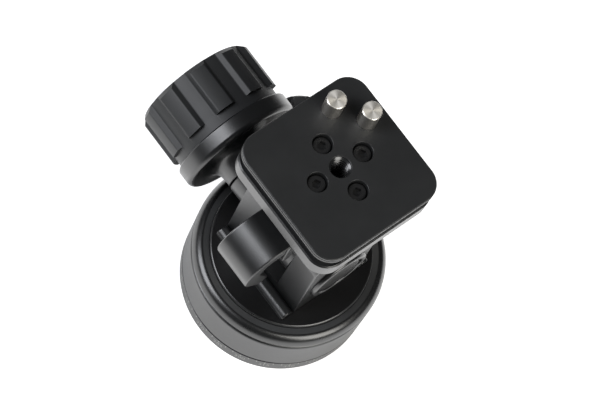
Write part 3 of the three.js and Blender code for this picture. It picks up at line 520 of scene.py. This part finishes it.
class HeadBase(bpy.types.Operator):
    """Make the base plate with its scale ring and the threaded insert"""
    bl_idname = "monopod_head.base"
    bl_label = "Base and scale ring"

    def execute(self, context):
        drum = context.scene.head_drum
        rim = drum.radius / MM - 0.03
        plate = turned([
            (10.3, 0), (rim - 0.6, 0, 0.15), (rim, 0.6, 0.15), (rim, SCALE_TOP_Z - 0.3),
            (rim - 0.3, SCALE_TOP_Z), (13, SCALE_TOP_Z), (13, 11.4), (11.4, 13), (11.4, 16.2), (13, 17.8),
            (13, 18.6), (8, 18.6), (8, 24.2), (0, 24.2), (0, 13.8), (7.9, 13.8), (7.9, 2.1), (10.3, 2.1),
        ])
        finished(plate, "base_scale_ring", "base", ["base_plate"], "black_anodised_blasted")
        insert = turned([
            (5.3, 0.2), (9.8, 0.2), (10, 0.4), (10, 2), (7.6, 2), (7.6, 13.5), (4.8, 13.5), (4.8, 0.7),
        ], SMALL_STEPS)
        finished(insert, "base_insert", "base", ["base_thread_insert"], "zinc_plated_steel")
        ridge = thread_ridge(4.82, 4.05, 1.5875, 0.6, 13.3)
        finished(ridge, "base_insert_thread", "base", [], "zinc_plated_steel")
        self.marks(drum, rim)
        return {'FINISHED'}

    def marks(self, drum, rim):
        """White marks and numbers, filled into the scale ring and flush with the drum."""
        top = SCALE_TOP_Z - 0.45
        length = drum.tick_length / MM
        solids = []
        for degrees in range(0, 360, drum.tick_step):
            tick = block((rim - 0.06, -0.16, top - length), (rim + 0.025, 0.16, top))
            solids.append(placed(tick, Matrix.Rotation(math.radians(degrees), 3, 'Z')))
        numeral_top = top - length - 0.25
        height = drum.numeral_height / MM
        for degrees in range(0, 360, drum.numeral_step):
            solids.append(self.numeral(str(degrees), degrees, rim, numeral_top, height))
        finished(joined(solids), "scale_marks", "base", [], "white_scale_paint")

    def numeral(self, text, degrees, rim, top, height):
        """A number whose flat text is bent round the scale ring."""
        curve = bpy.data.curves.new("numeral", 'FONT')
        curve.body = text
        curve.size = height / 0.69
        curve.extrude = 0.04
        curve.align_x = 'CENTER'
        curve.resolution_u = 3
        thing = bpy.data.objects.new("numeral", curve)
        bpy.context.scene.collection.objects.link(thing)
        graph = bpy.context.evaluated_depsgraph_get()
        mesh = bpy.data.meshes.new_from_object(thing.evaluated_get(graph))
        bm = bmesh.new()
        bm.from_mesh(mesh)
        bpy.data.objects.remove(thing)
        bpy.data.curves.remove(curve)
        bpy.data.meshes.remove(mesh)
        for vert in bm.verts:
            turn = math.radians(degrees) + vert.co.x / rim
            reach = rim - 0.015 + vert.co.z
            vert.co = (reach * math.cos(turn), reach * math.sin(turn), top - height + vert.co.y)
        return welded(bm)


class HeadDrum(bpy.types.Operator):
    """Make the turning drum, its bead ring and the disc on top"""
    bl_idname = "monopod_head.drum"
    bl_label = "Drum"

    def execute(self, context):
        drum = context.scene.head_drum
        radius = drum.radius / MM
        bottom = SCALE_TOP_Z + drum.seam / MM
        body = turned([
            (13.3, 7.4), (26.3, 7.4), (26.3, bottom), (radius - 0.25, bottom), (radius, bottom + 0.25),
            (radius, 22.0, 1.1), (radius - 1.6, 22.0), (radius - 1.6, 22.8), (25.07, 22.8), (25.07, 24.7),
            (17, 24.7), (17, 18.9), (13.3, 18.9),
        ])
        places = [Matrix.Rotation(math.radians(a), 3, 'Z') @ Vector((DISC_SCREW_CIRCLE, 0, 0))
                  for a in DISC_SCREW_DEGREES]
        wells = [rod(3.05, 6.4, 16, p.x, p.y) for p in places]
        shanks = [rod(1.8, 15.9, 27.9, p.x, p.y) for p in places]
        body = combined(body, joined(wells), 'DIFFERENCE')
        body = combined(body, joined(shanks), 'DIFFERENCE')
        body = combined(body, on_pan_lock(rod(3.9, 12, 20.7)), 'DIFFERENCE')
        body = combined(body, on_pan_lock(rod(3.3, 18.4, 48.4)), 'DIFFERENCE')
        finished(body, "drum", "turntable", ["drum_body"], "black_anodised_blasted")

        curve = interpolate_bezier((29.95, 0, 23.7), (29.5, 0, 25.2), (28.6, 0, 26.8), (27.0, 0, 26.8), 24)
        bead = [(p.x, p.z) for p in curve]
        ring = turned(
            [(25.12, 22.9), (28.6, 22.9), (28.6, 23.3), (29.7, 23.5)] + bead + [(25.2, 26.8), (25.12, 26.7)])
        second(ring, lambda face: face.calc_center_median().xy.length > 27)
        finished(ring, "drum_bead_ring", "turntable", ["drum_cap_ring"], "black_anodised_ring_painted_light",
                 also="black_anodised_polished")

        disc = turned([
            (0, DISC_BOTTOM_Z), (24.77, DISC_BOTTOM_Z), (25.07, DISC_BOTTOM_Z + 0.3),
            (25.07, DISC_TOP_Z, 0.6), (0, DISC_TOP_Z),
        ])
        holes = [rod(2.3, DISC_BOTTOM_Z - CUT_OVER, DISC_TOP_Z + CUT_OVER, x, y) for x, y in FOOT_SCREWS]
        holes += [rod(1.8, DISC_BOTTOM_Z - CUT_OVER, DISC_TOP_Z - 0.8, p.x, p.y) for p in places]
        disc = combined(disc, joined(holes), 'DIFFERENCE')
        sinks = [rod(4.3, DISC_BOTTOM_Z - 0.001, DISC_BOTTOM_Z + 2, x, y, top_radius=2.3)
                 for x, y in FOOT_SCREWS]
        disc = combined(disc, joined(sinks), 'DIFFERENCE')
        second(disc, lambda face: face.calc_center_median().xy.length > 24.5)
        finished(disc, "drum_disc", "turntable", ["turntable_disc"], "black_anodised_disc_painted_shade",
                 also="black_anodised_polished")
        return {'FINISHED'}


class HeadPedestal(bpy.types.Operator):
    """Make the pedestal with its two ears, toes and barrel, and the cap on the tilt axis"""
    bl_idname = "monopod_head.pedestal"
    bl_label = "Pedestal"

    def execute(self, context):
        chamfer = context.scene.head_bracket.ear_chamfer / MM
        half_width = 16.5
        slot_half = 7.3
        body = prism(drawn((16.9, 28.02), [
            (14.7, 28.02, 164), (12.4, 29.0), (12.4, 60), (6.4, 60, 90), (-6.4, 66), (-6.4, 60, 90),
            (-12.4, 29.0), (-12.585, 28.626), (-14.7, 28.02, 164),
        ]), 2 * half_width)
        placed(body, OUTLINE_TO_SIDE, (-half_width, 0, 0))
        barrel = on_tilt_axis(turned([(0, -22.8), (9.8, -22.8), (10.1, -22.5), (10.1, -15), (0, -15)]))
        body = combined(body, barrel, 'UNION')
        body = combined(body, block((-slot_half, -18, 33), (slot_half, 18, 68)), 'DIFFERENCE')
        rims = [e for e in body.edges if e.is_convex and within_one_end(e) and all(
            abs(abs(v.co.x) - half_width) < WELD and self.on_outline(v.co) for v in e.verts)]
        eased(body, rims, chamfer, 2)
        edges = [e for e in body.edges if e.calc_face_angle(0) > 0.5 and within_one_end(e) and all(
            abs(abs(v.co.x) - slot_half) < WELD and v.co.z > 33.1 for v in e.verts)]
        eased(body, edges, 0.3, 1)
        for radius, low, high in ((8.3, -24, 0), (4.3, -1, 18)):
            body = combined(body, on_tilt_axis(rod(radius, low, high)), 'DIFFERENCE')
        body = combined(body, on_tilt_axis(hexagon(13.6, 12.6, 18)), 'DIFFERENCE')
        holes = [rod(2.3, 27, 36.8, x, y) for x, y in FOOT_SCREWS]
        body = combined(body, joined(holes), 'DIFFERENCE')
        finished(welded(body), "pedestal_body", "turntable", ["pedestal"], "black_anodised_blasted")

        cap = turned([
            (0, 16.25), (5.5, 16.25), (5.5, 16.6), (10, 16.6), (10, 17.9, 0.9), (8, 17.9, 0.4),
            (8, 17), (7.2, 17), (7.2, 17.6, 0.25), (0, 17.6),
        ])
        finished(on_tilt_axis(cap), "tilt_axis_cap", "turntable", ["tilt_end_cap"],
                 "black_anodised_turned")
        return {'FINISHED'}

    def on_outline(self, place):
        """Whether a point lies on the ears' and toes' outline, away from the bores and the two valleys."""
        from_axis = math.hypot(place.y, place.z - TILT_Z)
        return from_axis > 11 and (place.z > 29.2 or abs(place.y) > 12.8)


class HeadBracket(bpy.types.Operator):
    """Make the tilting bracket with its boss, open hook and lower plate"""
    bl_idname = "monopod_head.bracket"
    bl_label = "Bracket and hook"

    def execute(self, context):
        sizes = context.scene.head_bracket
        platform = context.scene.head_platform
        plate = stacked(platform.side / MM, platform.corner / MM, [
            (83.5, 0.45), (83.95, 0), (88.75, 0), (89.2, 0.45),
        ])
        body = combined(self.tongue(sizes.hook_radius / MM, sizes.hook_bore / MM), plate, 'UNION')
        for low, high in ((5.9, 8), (-8, -5.9)):
            body = combined(body, on_tilt_axis(rod(9.3, low, high, steps=KNOB_STEPS)), 'DIFFERENCE')
        body = combined(body, on_tilt_axis(rod(6.3, -7, 7)), 'DIFFERENCE')
        holes = [rod(3.2, 84.5, 91)] + [rod(1.8, 84.3, 91, x, y) for x, y in PLATFORM_SCREWS]
        body = combined(body, joined(holes), 'DIFFERENCE')
        rims = [e for e in body.edges if e.is_convex and within_one_end(e) and all(
            abs(abs(v.co.x) - TONGUE_HALF_WIDTH) < WELD and v.co.z < 83.4
            and math.hypot(v.co.y, v.co.z - TILT_Z) > 9.5 for v in e.verts)]
        eased(body, rims, sizes.hook_chamfer / MM, 3)
        finished(welded(body), "tilt_bracket_body", "tilt_head", ["tilt_bracket"],
                 "black_anodised_blasted")
        return {'FINISHED'}

    def tongue(self, radius, bore):
        """Boss, tongue and open hook in one outline, with the finger that hangs behind the hook's mouth."""
        y, z = -19.8, 61
        lip_length = 7.5
        lip_thickness = 3.9
        mouth_degrees = 207
        lip = math.radians(220)
        lip_y = y + radius * math.cos(lip) - lip_length * math.sin(lip)
        lip_z = z + radius * math.sin(lip) + lip_length * math.cos(lip)
        mouth = math.radians(mouth_degrees)
        slit_turn = math.degrees(math.acos((-17.4 - y) / bore))
        outline = drawn((9.5, 84.2), [
            (-9.5, 84.2), (-9.5, z + radius), (y, z + radius), (y, z, 130), (lip_y, lip_z),
            (lip_y - lip_thickness * math.cos(lip), lip_z - lip_thickness * math.sin(lip)),
            (y + bore * math.cos(mouth), z + bore * math.sin(mouth)), (y, z, slit_turn - mouth_degrees),
            (-17.4, 70), (-16.7, 70), (-16.7, 59), (-15.1, 59, 180),
            (-13.5, 66.4), (-9.5, 66.4), (-9.5, 51.3015), (0, TILT_Z, 247.114),
        ])
        return placed(prism(outline, 2 * TONGUE_HALF_WIDTH), OUTLINE_TO_SIDE, (-TONGUE_HALF_WIDTH, 0, 0))


class HeadPlatform(bpy.types.Operator):
    """Make the camera platform with its tapped hole, screws and index pins"""
    bl_idname = "monopod_head.platform"
    bl_label = "Camera platform"

    def execute(self, context):
        sizes = context.scene.head_platform
        top = PLATFORM_TOP_Z
        edge = sizes.chamfer / MM
        plate = stacked(sizes.side / MM, sizes.corner / MM, [
            (PLATFORM_BOTTOM_Z, 1.8), (93.2, 1.8), (93.2, 0.3), (93.5, 0), (94.42, 0), (94.42, 0.35),
            (94.78, 0.35), (94.78, 0), (top - edge, 0), (top, edge),
        ])
        bore = turned([
            (0, PLATFORM_BOTTOM_Z - CUT_OVER), (3.2, PLATFORM_BOTTOM_Z - CUT_OVER), (3.2, top - 0.15),
            (3.4, top + 0.05), (3.4, top + CUT_OVER), (0, top + CUT_OVER),
        ], BORE_STEPS)
        plate = combined(plate, bore, 'DIFFERENCE')
        wells = []
        for x, y in PLATFORM_SCREWS:
            well = turned([
                (0, 91.3), (3, 91.3), (3, top - 0.1), (3.15, top + 0.05), (3.15, top + CUT_OVER),
                (0, top + CUT_OVER),
            ], BORE_STEPS)
            wells.append(placed(well, None, (x, y, 0)))
        plate = combined(plate, joined(wells), 'DIFFERENCE')
        holes = [rod(1.8, PLATFORM_BOTTOM_Z - CUT_OVER, 92, x, y) for x, y in PLATFORM_SCREWS]
        holes += [rod(2.3, 90.4, top + CUT_OVER, x, y) for x, y in PINS]
        plate = combined(plate, joined(holes), 'DIFFERENCE')
        finished(plate, "camera_platform_plate", "tilt_head", ["platform_plate"],
                 "black_anodised_platform")
        ridge = thread_ridge(3.22, 2.55, 1.27, 84.6, top - 0.15)
        finished(ridge, "camera_thread", "tilt_head", [], "black_anodised_tapped")

        for i, (x, y) in enumerate(PLATFORM_SCREWS, 1):
            screw = turned([
                (0, 84.4), (1.2, 84.4), (1.5, 84.7), (1.5, 91.4), (2.75, 91.4), (2.75, 94.1, 0.1),
                (2.45, 94.4, 0.1), (0, 94.4),
            ], SMALL_STEPS)
            screw = combined(screw, hexagon(2.5, 92.9, 95.4), 'DIFFERENCE')
            finished(placed(screw, None, (x, y, 0)), f"platform_cap_screw_{i}", "tilt_head",
                     [f"platform_screw_{i}"], "black_oxide_steel")
        radius = sizes.pin_radius / MM
        for i, (x, y) in enumerate(PINS, 1):
            pin = turned([
                (0, 90.7), (2, 90.7), (2, 95.9), (radius, 95.9), (radius, 102.88, 0.05),
                (radius - 0.22, 103.1, 0.05), (0, 103.1),
            ], BORE_STEPS)
            second(pin, lambda face: face.normal.z > 0.9)
            finished(placed(pin, None, (x, y, 0)), f"platform_index_pin_{i}", "tilt_head",
                     [f"index_pin_{i}"], "stainless_ground", also="stainless_faced")
        return {'FINISHED'}


class HeadKnob(bpy.types.Operator):
    """Make the clamping knob: core, ribbed grip and cap"""
    bl_idname = "monopod_head.knob"
    bl_label = "Clamping knob"

    def execute(self, context):
        sizes = context.scene.head_knob
        radius = sizes.radius / MM
        groove = radius - sizes.groove / MM
        neck = interpolate_bezier((15.6, 0, -30.1), (12.4, 0, -30.1), (10, 0, -29.4), (10, 0, -25.6), 20)
        core = turned([
            (4.3, -50), (12, -50), (12, -36), (18.9, -36, 0.15), (19.3, -35.6, 0.15), (19.3, -31.2, 0.5),
            (18.4, -30.1, 0.5),
        ] + [(p.x, p.z) for p in neck] + [
            (10, -23.4), (9.8, -23.2), (7.8, -23.2), (7.8, -24.4), (4.3, -24.4),
        ])
        core = combined(core, hexagon(13.6, -51, -43.5), 'DIFFERENCE')
        finished(on_tilt_axis(core), "tilt_knob_hub", "tilt_knob", ["tilt_knob_core"],
                 "black_anodised_turned")
        finished(on_tilt_axis(self.grip(sizes.lands, radius, groove)), "tilt_knob_ribbed_grip", "tilt_knob",
                 ["tilt_knob_grip"], "black_nylon_moulded")
        cap = turned([
            (0, -54.5), (12.1, -54.5, 0.2), (12.7, -53.9, 0.2), (12.7, -52.3), (0, -52.3),
        ])
        finished(on_tilt_axis(cap), "tilt_knob_end_cap", "tilt_knob", ["tilt_knob_cap"],
                 "black_nylon_moulded")
        return {'FINISHED'}

    def grip(self, lands, radius, groove):
        """The grip along Z: wide lands with shallow grooves that run out on the skirt."""
        first_land = 119
        pitch = 360 / lands
        land = pitch * 0.43
        flank = pitch * 0.1
        moves = []
        start = None
        for i in range(lands):
            middle = first_land + i * pitch
            places = [(middle - land / 2, radius), (middle + land / 2 + flank, groove)]
            spans = [land, pitch - land - 2 * flank]
            for (turn, reach), span in zip(places, spans):
                point = (reach * math.cos(math.radians(turn)), reach * math.sin(math.radians(turn)))
                if start is None:
                    start = point
                else:
                    moves.append(point)
                moves.append((0, 0, span))
        body = placed(prism(drawn(start, moves), 15.8), None, (0, 0, -55))
        corners = [e for e in body.edges if e.calc_face_angle(0) > 0.3 and abs(
            e.verts[0].co.z - e.verts[1].co.z) > 1]
        eased(body, corners, 0.3, 3)
        envelope = turned([
            (0, -55), (groove + 0.1, -55), (radius + 0.05, -53.5), (radius + 0.05, -39.3),
            (radius - 0.25, -39.0), (0, -39.0),
        ])
        body = combined(body, envelope, 'INTERSECT')
        skirt = turned([(0, -42), (groove - 0.3, -42), (groove + 0.1, -39.3), (groove + 0.1, -36.2),
                        (groove, -36.1), (0, -36.1)])
        body = combined(body, skirt, 'UNION')
        bore = turned([
            (0, -56), (13, -56), (13, -52.2), (10.3, -52.2), (10.3, -50.1), (12.3, -50.1), (12.3, -35),
            (0, -35),
        ], KNOB_STEPS)
        return combined(body, bore, 'DIFFERENCE')


class HeadPanLock(bpy.types.Operator):
    """Make the small fluted knob of the pan lock"""
    bl_idname = "monopod_head.pan_lock"
    bl_label = "Pan lock knob"

    def execute(self, context):
        knob = turned([
            (0, 30.8), (5.2, 30.8), (5.2, 34.4), (7, 34.4, 0.3), (8, 35.4, 0.3), (8, 52, 0.3), (7, 53, 0.3),
            (0, 53),
        ], KNOB_STEPS)
        count = 8
        reach = 8
        flutes = []
        for i in range(count):
            turn = FULL_TURN * i / count
            flutes.append(rod(1.3, 36.4, 54, reach * math.cos(turn), reach * math.sin(turn), steps=32))
        knob = combined(knob, joined(flutes), 'DIFFERENCE')
        knob = combined(knob, rod(3.3, 29.8, 45.3), 'DIFFERENCE')
        finished(on_pan_lock(knob), "pan_lock_fluted_knob", "pan_lock", ["pan_lock_knob"],
                 "black_nylon_moulded")
        return {'FINISHED'}


# Stage

# The camera's pose and lens, fitted to the photograph
CAMERA_LENS = 150.76
CAMERA_PLACE = (0.114785, -0.265121, 0.727348)
CAMERA_RIGHT = (0.59781, 0.77640, 0.19955)
CAMERA_UP = (-0.78455, 0.51553, 0.34457)
CAMERA_BACK = (0.16465, -0.36254, 0.91731)


class HeadStage(bpy.types.Operator):
    """Make the floor, the lamps, the world and the camera"""
    bl_idname = "monopod_head.stage"
    bl_label = "Stage"

    def execute(self, context):
        scene = context.scene
        self.floor(scene)
        self.world(scene)
        self.softbox(scene, "lamp_left", -126, 40, 1.3, (0.7, 1.15), 15, "#f8faff")
        self.softbox(scene, "lamp_right", -1, 40, 1.3, (0.75, 1.15), 14, "#fffdf8")
        camera = bpy.data.cameras.new("photo_camera")
        camera.lens = CAMERA_LENS
        camera.sensor_width = 36
        camera.clip_start = 0.01
        view = bpy.data.objects.new("photo_camera", camera)
        axes = Matrix((CAMERA_RIGHT, CAMERA_UP, CAMERA_BACK)).transposed()
        view.matrix_world = Matrix.Translation(CAMERA_PLACE) @ axes.to_4x4()
        scene.collection.objects.link(view)
        scene.camera = view
        scene.view_settings.view_transform = 'Standard'
        return {'FINISHED'}

    def softbox(self, scene, name, azimuth, elevation, distance, sides, watts, code):
        """A rectangular soft lamp that looks at the middle of the head."""
        lamp = bpy.data.lights.new(name, 'AREA')
        lamp.shape = 'RECTANGLE'
        lamp.size, lamp.size_y = sides
        lamp.energy = watts
        lamp.color = linear(code)
        thing = bpy.data.objects.new(name, lamp)
        turn, rise = math.radians(azimuth), math.radians(elevation)
        towards = Vector((math.cos(rise) * math.cos(turn), math.cos(rise) * math.sin(turn), math.sin(rise)))
        thing.location = Vector((0, 0, 0.05)) + distance * towards
        thing.rotation_euler = towards.to_track_quat('Z', 'Y').to_euler()
        scene.collection.objects.link(thing)

    def floor(self, scene):
        """A pale matt sheet that is white to the camera and keeps the shadow; for reflected rays it glows as
        a painted reflection, dimmed near the head as painted contact shadow, and its colour and glow darken
        away from the head as painted falloff.
        """
        tree, output, place = new_tree("studio_floor_painted_glow")
        tone = scene.head_finishes.floor
        light = node(tree, 'ShaderNodeLightPath').outputs
        reach = node(tree, 'ShaderNodeVectorMath', {"operation": 'LENGTH'}, {0: place})
        # Painted falloff: the sheet's colour and its reflected glow darken away from the head, standing for
        # the lamps' light dying off
        painted_falloff = node(
            tree, 'ShaderNodeMapRange',
            {"interpolation_type": 'SMOOTHSTEP', 1: 120 * MM, 2: 340 * MM, 3: 1.0, 4: 0.12},
            {0: reach.outputs["Value"]})
        # Painted reflection: for reflected rays the sheet glows, brighter than its lit colour
        painted_reflection_glow = node(tree, 'ShaderNodeMath', {"operation": 'MAXIMUM'},
                        {0: light["Is Glossy Ray"], 1: light["Is Transmission Ray"]})
        painted_reflection_glow = node(tree, 'ShaderNodeMath', {"operation": 'MULTIPLY'},
                        {0: painted_reflection_glow.outputs[0], 1: painted_falloff.outputs[0]})
        # Painted contact shadow: the reflected glow is dimmed close round the head
        painted_contact_shadow = node(
            tree, 'ShaderNodeMapRange',
            {"interpolation_type": 'SMOOTHSTEP', 1: 36 * MM, 2: 52 * MM, 3: 0.28, 4: 1.0},
            {0: reach.outputs["Value"]})
        shaded_painted_reflection = node(tree, 'ShaderNodeMath', {"operation": 'MULTIPLY'},
                     {0: painted_reflection_glow.outputs[0], 1: painted_contact_shadow.outputs[0]})
        # With the lamps' own light on the sheet, this brings it to white for the camera; reflected rays see
        # the painted reflection glow instead
        camera_glow = 0.74
        seen = node(tree, 'ShaderNodeMath', {"operation": 'MULTIPLY_ADD', 1: camera_glow},
                    {0: light["Is Camera Ray"], 2: shaded_painted_reflection.outputs[0]})
        paper = node(tree, 'ShaderNodeTexNoise', {"Scale": 1 / (4 * MM), "Detail": 2}, {"Vector": place})
        grain = node(tree, 'ShaderNodeBump', {"Strength": 0.2, "Distance": 0.02 * MM},
                     {"Height": paper.outputs["Fac"]})
        # The sheet's colour carries the painted falloff
        sheet = node(tree, 'ShaderNodeVectorMath', {"operation": 'SCALE', 0: tone},
                     {"Scale": painted_falloff.outputs[0]})
        matt = node(tree, 'ShaderNodeBsdfDiffuse', None,
                    {"Color": sheet.outputs["Vector"], "Normal": grain.outputs["Normal"]})
        glow = node(tree, 'ShaderNodeEmission', {"Color": (1, 1, 1, 1)}, {"Strength": seen.outputs[0]})
        both = node(tree, 'ShaderNodeAddShader', None, {0: matt.outputs[0], 1: glow.outputs[0]})
        tree.links.new(both.outputs[0], output.inputs["Surface"])
        bm = bmesh.new()
        bmesh.ops.create_circle(bm, cap_ends=True, segments=64, radius=4)
        bmesh.ops.translate(bm, vec=(0, 0, -0.0001), verts=bm.verts[:])
        mesh = bpy.data.meshes.new("studio_floor")
        bm.to_mesh(mesh)
        bm.free()
        mesh.materials.append(bpy.data.materials["studio_floor_painted_glow"])
        floor = bpy.data.objects.new("studio_floor", mesh)
        scene.collection.objects.link(floor)

    def world(self, scene):
        """A dim grey room round the lamps."""
        world = bpy.data.worlds.new("dim_studio")
        world.use_nodes = True
        tree = world.node_tree
        tree.nodes.clear()
        room = node(tree, 'ShaderNodeBackground', {"Color": (1, 1, 1, 1), "Strength": 0.06})
        output = node(tree, 'ShaderNodeOutputWorld')
        tree.links.new(room.outputs[0], output.inputs["Surface"])
        scene.world = world


class HeadPanel(bpy.types.Panel):
    """Lists the pieces of the monopod head"""
    bl_idname = "VIEW3D_PT_monopod_head"
    bl_label = "Monopod head"
    bl_space_type = 'VIEW_3D'
    bl_region_type = 'UI'
    bl_category = "Monopod head"

    def draw(self, context):
        for group in SETTINGS:
            column = self.layout.column(align=True)
            for name in SETTINGS[group].__annotations__:
                column.prop(getattr(context.scene, group), name)
        for operator in OPERATORS:
            self.layout.operator(operator.bl_idname)


SETTINGS = {
    "head_finishes": HeadFinishSettings,
    "head_drum": HeadDrumSettings,
    "head_bracket": HeadBracketSettings,
    "head_platform": HeadPlatformSettings,
    "head_knob": HeadKnobSettings,
}
OPERATORS = [
    HeadFinishes, HeadBase, HeadDrum, HeadPedestal, HeadBracket, HeadPlatform, HeadKnob, HeadPanLock,
    HeadStage,
]


def register():
    """Register the settings, operators and panel."""
    for name, settings in SETTINGS.items():
        bpy.utils.register_class(settings)
        setattr(bpy.types.Scene, name, bpy.props.PointerProperty(type=settings))
    for kind in OPERATORS + [HeadPanel]:
        bpy.utils.register_class(kind)


def unregister():
    """Take the settings, operators and panel away again."""
    for kind in reversed(OPERATORS + [HeadPanel]):
        bpy.utils.unregister_class(kind)
    for name, settings in SETTINGS.items():
        delattr(bpy.types.Scene, name)
        bpy.utils.unregister_class(settings)


def main():
    register()
    calls = bpy.ops.monopod_head
    calls.finishes()
    calls.base()
    calls.drum()
    calls.pedestal()
    calls.bracket()
    calls.platform()
    calls.knob()
    calls.pan_lock()
    calls.stage()
    bpy.context.view_layer.update()


if __name__ == "__main__":
    main()
